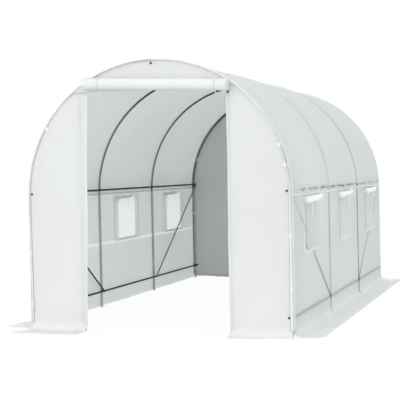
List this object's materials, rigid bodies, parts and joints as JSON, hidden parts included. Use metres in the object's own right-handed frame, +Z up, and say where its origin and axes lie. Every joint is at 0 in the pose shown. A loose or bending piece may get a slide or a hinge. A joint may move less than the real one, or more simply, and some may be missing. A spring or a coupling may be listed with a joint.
{
  "type": "polytunnel greenhouse",
  "caption": "Walk-in polytunnel with a bolted steel arch frame, woven film cover, rolled-up front door, netted side windows and ground skirts.",
  "frame": {"origin": "on the ground, in the middle of the plan", "axes": "+X across the tunnel to the right, +Y from the open front to the closed back, +Z up"},
  "size_m": [2.4366, 3.8066, 1.9721],
  "materials": {
    "galvanised_tube": "satin",
    "dark_tube": "satin",
    "woven_film": "woven, translucent",
    "window_net": "fine net"
  },
  "bodies": {
    "root": {"leg_left_1": "galvanised_tube", "leg_left_2": "galvanised_tube", "leg_left_3": "galvanised_tube", "leg_left_4": "galvanised_tube", "leg_right_1": "galvanised_tube", "leg_right_2": "galvanised_tube", "leg_right_3": "galvanised_tube", "leg_right_4": "galvanised_tube", "hoop_1": "dark_tube", "hoop_2": "dark_tube", "hoop_3": "dark_tube", "hoop_4": "dark_tube", "ridge_purlin": "dark_tube", "mid_purlin_left": "dark_tube", "mid_purlin_right": "dark_tube", "low_purlin_left": "dark_tube", "low_purlin_right": "dark_tube", "brace_front_left": "dark_tube", "brace_front_right": "dark_tube", "brace_rear_left": "dark_tube", "brace_rear_right": "dark_tube", "door_post_left": "galvanised_tube", "door_post_right": "galvanised_tube", "door_header": "dark_tube", "roof_left": "woven_film", "roof_crown": "woven_film", "roof_right": "woven_film", "window_band_left": "woven_film", "window_band_right": "woven_film", "lower_wall_left": "woven_film", "lower_wall_right": "woven_film", "skirt_left": "woven_film", "skirt_right": "woven_film", "front_panel_left": "woven_film", "front_panel_right": "woven_film", "front_gable_top": "woven_film", "rear_gable": "woven_film", "door_roll": "woven_film", "window_nets_left": "window_net", "window_nets_right": "window_net", "window_flaps_left": "woven_film", "window_flaps_right": "woven_film"}
  },
  "joints": []
}
